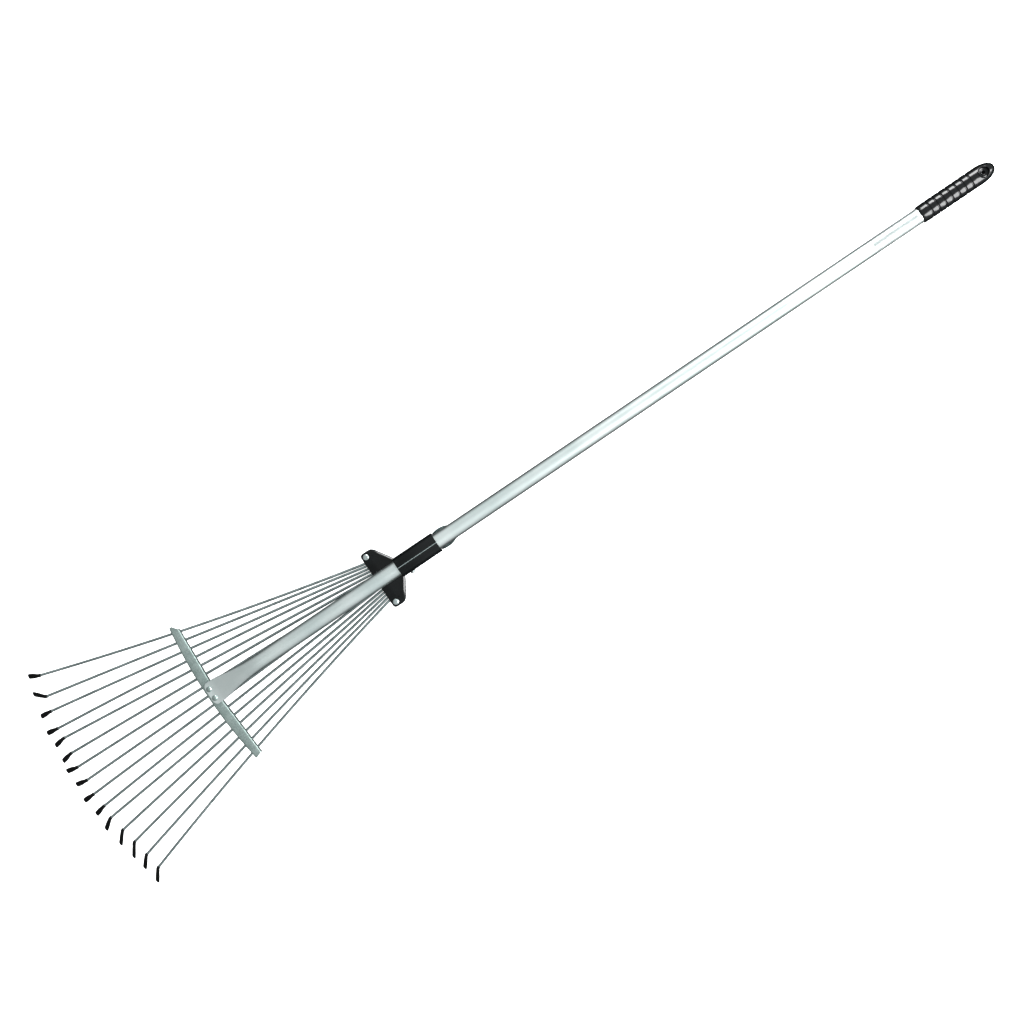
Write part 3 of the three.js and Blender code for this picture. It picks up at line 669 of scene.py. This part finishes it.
class Tine:
    """Where one tine stands. Number 0 is the one on the far left."""

    def __init__(self, number):
        place = (TINE_COUNT - 1) / 2 - number
        self.label = f"{number + 1:02d}"
        self.pivot_y = place * TINE_PIVOT_PITCH
        self.bar_y = place * TINE_BAR_PITCH
        self.forward = TINE_PIVOT - bar_x_at(self.bar_y)
        self.angle = math.atan2(self.bar_y - self.pivot_y, self.forward)
        self.to_bar = math.hypot(self.bar_y - self.pivot_y, self.forward)
        self.twist = math.radians(TINE_TWISTS[number])
        self.drift = TINE_DRIFTS[number]
        self.reach = TINE_REACH + TINE_EXTRA_REACHES[number]
        self.body = "hub" if place == 0 else f"tine_body_{self.label}"
        self.place = Matrix.Translation((TINE_PIVOT, self.pivot_y, TINE_PLANE)) @ Matrix.Rotation(
            math.pi - self.angle, 4, "Z"
        )

    def bow(self, distance):
        """How far the wire is bent sideways at a distance from its pivot: not at all at the bar."""
        share = distance * (distance - self.to_bar) / (self.reach * (self.reach - self.to_bar))
        return self.drift * share

    def turn_rate(self):
        """Radians that the tine closes for each millimetre that the hub moves back."""
        slope = math.tan(self.angle)
        return slope / (self.forward * (1 + slope * slope))

    def crossing(self, plane_x, hub_shift):
        """Y at which the wire passes through a plane across the rake, with the hub moved."""
        ahead = TINE_PIVOT + hub_shift - plane_x
        angle = self.angle - self.turn_rate() * hub_shift
        return self.pivot_y + ahead * math.tan(angle) - self.bow(ahead / math.cos(angle))


TINES = [Tine(number) for number in range(TINE_COUNT)]


def wire_section(x, z, pitch, half_width, half_thickness, y=0.0, twist=0.0):
    flat = half_width - half_thickness
    roll = Matrix.Rotation(twist, 3, "X")

    def place(cos, sin):
        spread_out = math.copysign(1 - (1 - min(1.0, abs(cos))) ** 2, cos)
        rise = half_thickness * sin
        point = Vector(
            (x + rise * math.sin(pitch), flat * spread_out + half_thickness * cos, z + rise * math.cos(pitch))
        )
        point = roll @ point
        point.y += y
        return point

    return place


def tip_sections(tine, margin, first_pitch=0.0, past_end=0.0):
    """The bend and the flattened, flared end of a tine, grown by a margin."""
    y = tine.bow(tine.reach)
    sections = []
    bend_steps = 9
    for step in range(bend_steps + 1):
        pitch = mix(first_pitch, TIP_BEND, step / bend_steps)
        x = tine.reach + TIP_BEND_RADIUS * math.sin(pitch)
        z = -TIP_BEND_RADIUS * (1 - math.cos(pitch))
        sections.append(wire_section(x, z, pitch, TINE_RADIUS + margin, TINE_RADIUS + margin, y, tine.twist))
    length = TIP_LENGTH + past_end
    end_radius = 2.2
    flare_length = 0.55 * TIP_LENGTH
    thinning_length = 0.4 * TIP_LENGTH
    shares = [step / 12 * (length - end_radius) / length for step in range(1, 13)]
    shares += [1 - end_radius / length * (1 - math.sin(step / 5 * math.pi / 2)) for step in range(1, 6)]
    for share in shares:
        far = length * share
        flared = smooth_share(far / flare_length)
        thinned = smooth_share(far / thinning_length)
        half_width = mix(TINE_RADIUS, TIP_HALF_WIDTH, flared) + margin
        half_thickness = mix(TINE_RADIUS, TIP_HALF_THICKNESS, thinned) + margin
        past = max(0.0, far - (length - end_radius)) / end_radius
        closing = math.sqrt(max(0.0, 1 - past * past))
        half_width = mix(half_width - end_radius, half_width, closing)
        half_thickness = mix(half_thickness * 0.35, half_thickness, closing)
        sections.append(
            wire_section(
                x + far * math.cos(TIP_BEND), z - far * math.sin(TIP_BEND), TIP_BEND,
                half_width, half_thickness, y, tine.twist,
            )
        )
    return sections


def tine_wire(tine):
    hook = 2.0
    peg_radius = 1.5
    peg_length = 5.4
    chamfer = 0.4
    sections = [
        wire_section(0, -peg_length, -math.pi / 2, peg_radius - chamfer, peg_radius - chamfer),
        wire_section(0, chamfer - peg_length, -math.pi / 2, peg_radius, peg_radius),
        wire_section(0, -hook - 0.4, -math.pi / 2, peg_radius, peg_radius),
    ]
    hook_steps = 5
    for step in range(hook_steps + 1):
        share = step / hook_steps
        angle = share * math.pi / 2
        x, z = hook * (1 - math.cos(angle)), -hook * (1 - math.sin(angle))
        radius = mix(peg_radius, TINE_RADIUS, share)
        sections.append(wire_section(x, z, -math.pi / 2 * (1 - share), radius, radius))
    body_steps = 22
    for step in range(1, body_steps):
        x = mix(hook, tine.reach, step / body_steps)
        sections.append(wire_section(x, 0, 0, TINE_RADIUS, TINE_RADIUS, tine.bow(x)))
    sections += tip_sections(tine, 0.0)
    wire = moved(loft(sections, 20), tine.place)
    name = f"tine_{tine.label}"
    return finished(wire, f"spring_{name}", WIRE, tine.body, name, 60.0)


def tip_coat(tine):
    y = tine.bow(tine.reach)

    def mouth(ahead, drop, pitch, radius):
        return wire_section(tine.reach + ahead, drop, pitch, radius, radius, y, tine.twist)

    sections = [
        mouth(3.5, -0.9, 0.62, TINE_RADIUS * 0.9),
        mouth(0.9, 0.0, 0.15, TINE_RADIUS + 0.02),
        mouth(0.8, 0.0, 0.13, TINE_RADIUS + COAT / 2),
    ]
    coat = moved(loft(sections + tip_sections(tine, COAT, 0.15, COAT), 20), tine.place)
    name = f"tip_coat_{tine.label}"
    return finished(coat, f"dip_{name}", DIP, tine.body, name, 60.0)


# ------------------------------------------------------------------------------------------------
# Spreader bar.


def slot_tool(tine):
    middle = bar_x_at(tine.bar_y)
    crossings = []
    for hub_shift in (-HUB_TRAVEL, 0.0, HUB_TRAVEL):
        for side in (-0.5, 0.5):
            skew = side * BAR_WIDTH * -math.tan(tine.angle)
            crossings.append(tine.crossing(middle + side * BAR_WIDTH, hub_shift) - skew)
    reach = TINE_RADIUS / math.cos(tine.angle) + SLOT_CLEARANCE
    half = (max(crossings) - min(crossings)) / 2 + reach
    centre = (max(crossings) + min(crossings)) / 2
    tall = TINE_RADIUS + 0.9
    outline = rounded([(-half, -tall), (half, -tall), (half, tall), (-half, tall)], 1.6, 4)
    tool = slab(outline, -BAR_WIDTH, BAR_WIDTH, axis="X")
    return moved(
        tool, Matrix.Rotation(-tine.angle, 4, "Z"), Matrix.Translation((middle, centre, TINE_PLANE))
    )


def end_trim(start, end):
    """A block on the left of the slanted line through two places."""
    reach = 40.0
    block = slab([(-reach, 0), (reach, 0), (reach, reach), (-reach, reach)], BAR_BOTTOM - 1, BAR_TOP + 1)
    turn = Matrix.Rotation(math.atan2(end[1] - start[1], end[0] - start[0]), 4, "Z")
    middle = Matrix.Translation(((start[0] + end[0]) / 2, (start[1] + end[1]) / 2, 0))
    return moved(block, turn, middle)


def fold(across, height, radius, steps):
    """The quarter round of a fold, from the flange up to the web."""
    angles = [step / steps * math.pi / 2 for step in range(steps + 1)]
    return [(across - radius * (1 - math.cos(a)), height - radius * (1 - math.sin(a))) for a in angles]


def channel_section():
    """The bar's folded sheet: a web on top and a flange down each side."""
    half = BAR_WIDTH / 2
    inner = half - BAR_SHEET
    fold_radius = 2.4
    outer_side = [(half, BAR_BOTTOM)] + fold(half, BAR_TOP, fold_radius, 5)
    inner_side = [(inner, BAR_BOTTOM)] + fold(inner, BAR_TOP - BAR_SHEET, fold_radius - BAR_SHEET, 3)
    outside = outer_side + [(-x, z) for x, z in reversed(outer_side)]
    inside = [(-x, z) for x, z in inner_side] + [(x, z) for x, z in reversed(inner_side)]
    return outside + inside


def spreader_bar():
    half = BAR_WIDTH / 2
    bar = slab(channel_section(), -BAR_HALF_LENGTH, BAR_HALF_LENGTH, axis="Y")
    for share in range(-9, 10):
        everything = bar.verts[:] + bar.edges[:] + bar.faces[:]
        place = (0, share / 10 * BAR_HALF_LENGTH, 0)
        bmesh.ops.bisect_plane(bar, geom=everything, dist=1e-4, plane_co=place, plane_no=(0, 1, 0))
    for vert in bar.verts:
        x, y = vert.co.x, vert.co.y
        vert.co.x = bar_rear_at(y) + x - half if x > 0 else bar_front_at(y) + x + half
    trims = [end_trim((-393, 116), (-383, 102.5)), end_trim((-384, -113), (-397, -117.5))]
    bar = worked(bar, trims + [slot_tool(tine) for tine in TINES])
    return finished(bar, "channel_bar", BAR_ZINC, "handle", "spreader_bar", 28.0)


def bar_rivet(side, node):
    top = -TUBE_RADIUS + 2 * TONGUE_HALF_THICKNESS
    under = BAR_TOP - BAR_SHEET
    shank = 2.2
    tail = 3.3
    radius, dome = RIVET_DOME
    profile = [(under - 1.2, 0.0), (under - 1.2, tail - 0.7), (under - 0.3, tail), (under, tail)]
    profile += [(under, shank), (top, shank), (top, radius)]
    for step in range(1, 9):
        angle = step / 8 * math.pi / 2
        profile.append((top + dome * math.sin(angle), radius * math.cos(angle) if step < 8 else 0.0))
    rivet = moved(upright(profile, 32), Matrix.Translation((RIVET[0], side * RIVET[1], 0)))
    return finished(rivet, f"domed_{node}", BAR_ZINC, "handle", node, 40.0)


# ------------------------------------------------------------------------------------------------
# Hub.


def mirrored_outline(right_side):
    return right_side + [(x, -y) for x, y in reversed(right_side)]


def winged_plate():
    corners = mirrored_outline(
        [(PLATE_FRONT, PLATE_HALF_WIDTH), (PLATE_CORNER + 1.5, PLATE_HALF_WIDTH), (PLATE_REAR, SLEEVE_RADIUS)]
    )
    return soften(slab(rounded(corners, 6.0, 8), PLATE_RIM, PLATE_TOP), 0.6, 2, 60.0)


def sleeve_block():
    arc = [(SLEEVE_RADIUS * math.cos(a), SLEEVE_RADIUS * math.sin(a))
           for a in [step / 40 * math.pi for step in range(41)]]
    foot = [(-SLEEVE_RADIUS, SLEEVE_BOTTOM + 3), (-SLEEVE_RADIUS + 0.9, SLEEVE_BOTTOM + 0.9),
            (-SLEEVE_RADIUS + 3, SLEEVE_BOTTOM), (SLEEVE_RADIUS - 3, SLEEVE_BOTTOM),
            (SLEEVE_RADIUS - 0.9, SLEEVE_BOTTOM + 0.9), (SLEEVE_RADIUS, SLEEVE_BOTTOM + 3)]
    return soften(slab(arc + foot, *SLEEVE, axis="X"), 0.9, 3, 60.0)


def plate_lip(side):
    """The raised lip along a slanted rear edge, its top falling towards the edge."""
    outer = [
        (PLATE_CORNER + 2.6, side * (PLATE_HALF_WIDTH - 2.3)),
        (PLATE_REAR - 0.4, side * (SLEEVE_RADIUS - 0.4)),
    ]
    inner = [
        (PLATE_REAR - 3.4, side * (SLEEVE_RADIUS - 2)),
        (PLATE_CORNER + 0.6, side * (PLATE_HALF_WIDTH - 4.3)),
    ]
    lip = slab(outer + inner, PLATE_TOP - 1, PLATE_TOP + 2.2)
    for vert in lip.verts:
        at_outer_edge = any(math.dist(vert.co.xy, corner) < 0.1 for corner in outer)
        if at_outer_edge and vert.co.z > PLATE_TOP:
            vert.co.z -= 2.0
    return soften(lip, 0.25, 2, 20.0)


def plate_pip(side):
    pip = upright([(-1.0, 0.0), (-1.0, 1.5), (0.4, 1.5), (0.7, 1.2), (0.7, 0.0)], 20)
    return moved(pip, Matrix.Translation((PIP[0], side * PIP[1], PLATE_TOP)))


def mould_seam():
    seam = turned(rod(SLEEVE[0] + 1.5, SLEEVE[1] - 1.5, 0.55), 16)
    return moved(seam, Matrix.Translation((0, SEAM_OFFSET, SLEEVE_RADIUS - 0.15)))


def tine_bay():
    front, rear = PLATE_FRONT - 1, -83.0
    outline = [(front, -37.4), (rear, -34.2), (rear, 34.2), (front, 37.4)]
    return slab(outline, PLATE_RIM - 1, PLATE_TOP - PLATE_THICKNESS)


def lever_bay():
    front, rear = -57.5, SLEEVE[1] + 1
    outline = [
        (front, -BAY_HALF_WIDTH), (rear, -BAY_HALF_WIDTH), (rear, BAY_HALF_WIDTH), (front, BAY_HALF_WIDTH)
    ]
    return slab(outline, SLEEVE_BOTTOM - 1, 0.0)


def hub_body():
    lips = [plate_lip(side) for side in (-1, 1)]
    pips = [plate_pip(side) for side in (-1, 1)]
    body = worked(winged_plate(), [sleeve_block(), mould_seam(), *lips, *pips], "UNION")
    bore = turned(rod(-110.0, 20.0, TUBE_RADIUS + 0.15), 64)
    bolt_hole = at_lever_pivot(sideways(rod(-20.0, 20.0, BOLT_RADIUS + 0.2), 24))
    nut_seat = at_lever_pivot(sideways(rod(NUT_SEAT, 20.0, 5.0), 6))
    body = worked(body, [tine_bay(), bore, lever_bay(), bolt_hole, nut_seat])
    return finished(body, "nylon_hub", NYLON, "hub", "hub_body", 28.0)


def hub_cover():
    corners = mirrored_outline(
        [(PLATE_FRONT + 1, COVER_HALF_WIDTH), (PLATE_CORNER, COVER_HALF_WIDTH), (-63.0, 20.0)]
    )
    cover = soften(slab(rounded(corners, 2.5, 5), *COVER), 0.7, 3, 60.0)
    peg_hole = rod(COVER[0] - 1, COVER[1] + 1, 1.65)
    places = [Matrix.Translation((TINE_PIVOT, tine.pivot_y, 0)) for tine in TINES]
    cover = worked(cover, [moved(upright(peg_hole, 16), place) for place in places])
    return finished(cover, "nylon_cover", NYLON, "hub", "hub_cover", 28.0)


def hub_screw(side, node):
    seat = PLATE_TOP
    profile = [(COVER[0] + 0.8, 0.0), (COVER[0] + 1.8, 2.0), (seat, 2.0), (seat, 4.5), (seat + 0.3, 4.7)]
    for step in range(1, 8):
        angle = step / 8 * math.pi / 2
        profile.append((seat + 0.9 + 1.6 * math.sin(angle), 4.7 * math.cos(angle)))
    profile += [(seat + 2.5, 0.8), (seat + 2.5, 0.0)]
    head = upright(profile, 36)
    cross = []
    for a, b in ((2.5, 0.5), (0.5, 2.5)):
        cross.append(slab([(-a, -b), (a, -b), (a, b), (-a, b)], seat + 1.3, seat + 4.0))
    screw = moved(worked(head, cross), Matrix.Translation((HUB_SCREW[0], side * HUB_SCREW[1], 0)))
    return finished(screw, f"pan_head_{node}", PRESSING, "hub", node, 30.0)


# ------------------------------------------------------------------------------------------------
# Clamp.


def clamp_shoe():
    x, z = LEVER_PIVOT
    block = slab([(x - 8, -8.6), (x + 8, -8.6), (x + 8, 8.6), (x - 8, 8.6)], z + CAM_RADIUS + 0.3, -9.5)
    block = soften(block, 0.4, 2, 60.0)
    bore = turned(rod(-80.0, 10.0, TUBE_RADIUS + 0.1), 64)
    shoe = worked(block, [bore])
    return finished(shoe, "brass_shoe", BRASS, "hub", "clamp_shoe", 30.0)


def lever_cheek(side):
    """A side of the lever's neck, which ends in the cam round the bolt."""
    x, z = LEVER_PIVOT
    cam = [(x + CAM_RADIUS * math.cos(a), z + CAM_RADIUS * math.sin(a))
           for a in [mix(0.5, 1.5, step / 20) * math.pi for step in range(21)]]
    outline = [(13.0, -20.8), (13.0, -18.7), (-10.0, -17.6), (-34.0, -16.2)] + cam
    faces = sorted((side * (LEVER_HALF_WIDTH - LEVER_SHEET), side * LEVER_HALF_WIDTH))
    return soften(slab(outline, *faces, axis="Y"), 0.3, 2, 60.0)


def lever_web():
    outline = [(-39.0, -25.0), (14.0, -20.8), (14.0, -19.3), (-39.0, -23.5)]
    return soften(slab(outline, -LEVER_HALF_WIDTH, LEVER_HALF_WIDTH, axis="Y"), 0.35, 2, 60.0)


def lever_spoon():
    """The dished finger plate: an oval disc, curled up at its sides and cut square at the sleeve."""
    centre, half_length, half_width = SPOON
    rim = 0.035
    profile = [(0.0, 0.0)] + [(0.0, step / 12 * (1 - rim)) for step in range(1, 13)]
    near_edge = 1 - rim * 0.3
    profile += [(LEVER_SHEET * 0.2, near_edge), (LEVER_SHEET * 0.5, 1.0), (LEVER_SHEET * 0.8, near_edge)]
    profile += [(LEVER_SHEET, step / 12 * (1 - rim)) for step in range(12, 0, -1)] + [(LEVER_SHEET, 0.0)]
    spoon = upright(profile, 72)
    for vert in spoon.verts:
        x, y, z = vert.co
        vert.co = (centre + x * half_length, y * half_width, SPOON_BOTTOM + z + SPOON_RISE * y * y)
    front, rear = -30.0, SLEEVE[1] + 0.8
    outline = [(front, -30.0), (rear, -30.0), (rear, 30.0), (front, 30.0)]
    return worked(spoon, [slab(outline, -45.0, 20.0)])


def clamp_lever():
    cheeks = [lever_cheek(side) for side in (-1, 1)]
    lever = worked(lever_web(), [*cheeks, lever_spoon()], "UNION")
    bolt_hole = at_lever_pivot(sideways(rod(-20.0, 20.0, BOLT_RADIUS + 0.1), 24))
    lever = worked(lever, [bolt_hole])
    return finished(lever, "pressed_lever", PRESSING, "lever", "clamp_lever", 30.0)


def lever_bolt():
    seat = SLEEVE_RADIUS
    profile = [(-15.6, 0.0), (-15.6, BOLT_RADIUS - 0.4), (-15.2, BOLT_RADIUS), (seat, BOLT_RADIUS)]
    profile += [(seat, 3.6), (seat + 0.3, 3.8)]
    for step in range(1, 9):
        angle = step / 8 * math.pi / 2
        profile.append((seat + 0.9 + 2.1 * math.sin(angle), 3.8 * math.cos(angle) if step < 8 else 0.0))
    bolt = at_lever_pivot(sideways(profile, 36, -1))
    return finished(bolt, "round_head_bolt", PRESSING, "hub", "lever_bolt", 40.0)


def lever_nut():
    nut = soften(sideways(rod(13.4, 15.7, 4.4), 6), 0.3, 2, 60.0)
    hole = sideways(rod(10.0, 20.0, BOLT_RADIUS + 0.05), 24)
    nut = at_lever_pivot(worked(nut, [hole]))
    return finished(nut, "hexagon_nut", PRESSING, "hub", "lever_nut", 30.0)


handle_tube()
end_grip()
blank_label()
for tine in TINES:
    tine_wire(tine)
    tip_coat(tine)
spreader_bar()
bar_rivet(1, "bar_rivet_left")
bar_rivet(-1, "bar_rivet_right")
hub_body()
hub_cover()
hub_screw(1, "hub_screw_left")
hub_screw(-1, "hub_screw_right")
clamp_shoe()
clamp_lever()
lever_bolt()
lever_nut()


# ------------------------------------------------------------------------------------------------
# Studio: white paper floor, three soft lights beside the grip and a plain grey room for the metal
# to reflect.


def paper_floor():
    bm = bmesh.new()
    bmesh.ops.create_grid(bm, x_segments=1, y_segments=1, size=20.0)
    bmesh.ops.translate(bm, verts=bm.verts, vec=(0, 0, cad_low.z - 0.0005))
    mesh = bpy.data.meshes.new("paper_floor")
    bm.to_mesh(mesh)
    bm.free()
    floor = bpy.data.objects.new("paper_floor", mesh)
    bpy.context.scene.collection.objects.link(floor)
    material = bpy.data.materials.new("white_paper")
    material.use_nodes = True
    surface = material.node_tree.nodes["Principled BSDF"]
    surface.inputs["Base Color"].default_value = srgb("#FFFFFF")
    surface.inputs["Roughness"].default_value = 0.9
    surface.inputs["Specular IOR Level"].default_value = 0.0
    surface.inputs["Emission Color"].default_value = srgb("#FFFFFF")
    surface.inputs["Emission Strength"].default_value = 0.9
    mesh.materials.append(material)
    floor.visible_glossy = False
    return floor


def grey(level):
    """Hex code of a grey whose linear brightness is this level, a touch cooler than neutral."""
    value = 12.92 * level if level <= 0.0031308 else 1.055 * level ** (1 / 2.4) - 0.055
    channels = [round(255 * min(1.0, value * tint)) for tint in (0.985, 1.0, 1.0)]
    return "#" + "".join(f"{channel:02X}" for channel in channels)


def room():
    """A plain bright room, dark below the horizon and dimmer beyond the tines."""
    world = bpy.data.worlds.new("studio_room")
    bpy.context.scene.world = world
    world.use_nodes = True
    tree = world.node_tree
    tree.nodes.clear()
    direction = tree.nodes.new("ShaderNodeTexCoord").outputs["Generated"]
    parts = add(tree, "ShaderNodeSeparateXYZ", links={"Vector": direction}).outputs
    turn = add(
        tree, "ShaderNodeMath", {"operation": "ARCTAN2"}, links={0: parts["Y"], 1: parts["Z"]}
    ).outputs[0]
    place = add(
        tree, "ShaderNodeMapRange", values={"From Min": -math.pi, "From Max": math.pi}, links={"Value": turn}
    ).outputs["Result"]
    stops = [
        (-180, 0.05), (-130, 0.07), (-112, 0.16), (-102, 0.45), (-92, 0.78), (-76, 0.86), (-40, 0.92),
        (-12, 0.97), (4, 0.93), (24, 0.88), (50, 0.9), (76, 0.86), (92, 0.7), (102, 0.36), (112, 0.14),
        (130, 0.07), (180, 0.05),
    ]
    shade = ramp(tree, place, [((angle + 180) / 360, grey(level)) for angle, level in stops])
    dimming = add(
        tree, "ShaderNodeMapRange", {"interpolation_type": "SMOOTHSTEP"},
        {"From Min": -0.16, "From Max": 0.06, "To Min": 0.62, "To Max": 1.0}, {"Value": parts["X"]},
    ).outputs["Result"]
    shade = add(
        tree, "ShaderNodeVectorMath", {"operation": "SCALE"}, links={0: shade, "Scale": dimming}
    ).outputs[0]
    seen = tree.nodes.new("ShaderNodeLightPath").outputs["Is Camera Ray"]
    tint = add(
        tree, "ShaderNodeMix", {"data_type": "RGBA"}, {"B": srgb("#FFFFFF")}, {"Factor": seen, "A": shade}
    ).outputs["Result"]
    glow = add(tree, "ShaderNodeBackground", values={"Strength": 1.04}, links={"Color": tint})
    output = tree.nodes.new("ShaderNodeOutputWorld")
    tree.links.new(glow.outputs[0], output.inputs["Surface"])


def softbox(name, location, target, size, power):
    data = bpy.data.lights.new(name, "AREA")
    data.shape = "RECTANGLE"
    data.size, data.size_y = size
    data.energy = power
    lamp = bpy.data.objects.new(name, data)
    lamp.location = location
    lamp.rotation_mode = "QUATERNION"
    lamp.rotation_quaternion = (Vector(target) - Vector(location)).to_track_quat("-Z", "Y")
    bpy.context.scene.collection.objects.link(lamp)
    return lamp


def camera():
    """Looks almost straight down at the rake, turned so that the handle rises to the right."""
    heading = math.radians(34.04)
    lean = math.radians(0.5)
    distance = 3.43
    aim = RAKE @ Vector((128.0, -26.3, 0.0))
    right = along * math.cos(heading) - across * math.sin(heading)
    back = (upward * math.cos(lean) - across * math.sin(lean)).normalized()
    up = back.cross(right).normalized()
    right = up.cross(back).normalized()
    data = bpy.data.cameras.new("camera")
    data.sensor_width = 36.0
    data.lens = 80.4
    data.clip_end = 100.0
    eye = bpy.data.objects.new("camera", data)
    turn = Matrix((right, up, back)).transposed().to_4x4()
    eye.matrix_world = Matrix.Translation(aim + back * distance) @ turn
    bpy.context.scene.collection.objects.link(eye)
    bpy.context.scene.camera = eye


paper_floor()
room()
softbox("left_softbox", (1.25, 1.15, 0.65), (0.6, 0.0, 0.05), (0.8, 0.75), 28.0)
softbox("right_softbox", (1.3, -1.0, 0.95), (0.6, 0.0, 0.05), (0.9, 1.3), 46.0)
softbox("end_softbox", (2.3, -0.9, 0.8), (0.7, 0.0, 0.05), (0.6, 0.6), 20.0)
camera()
bpy.context.scene.view_settings.view_transform = "Standard"
bpy.context.scene.view_settings.gamma = 0.78
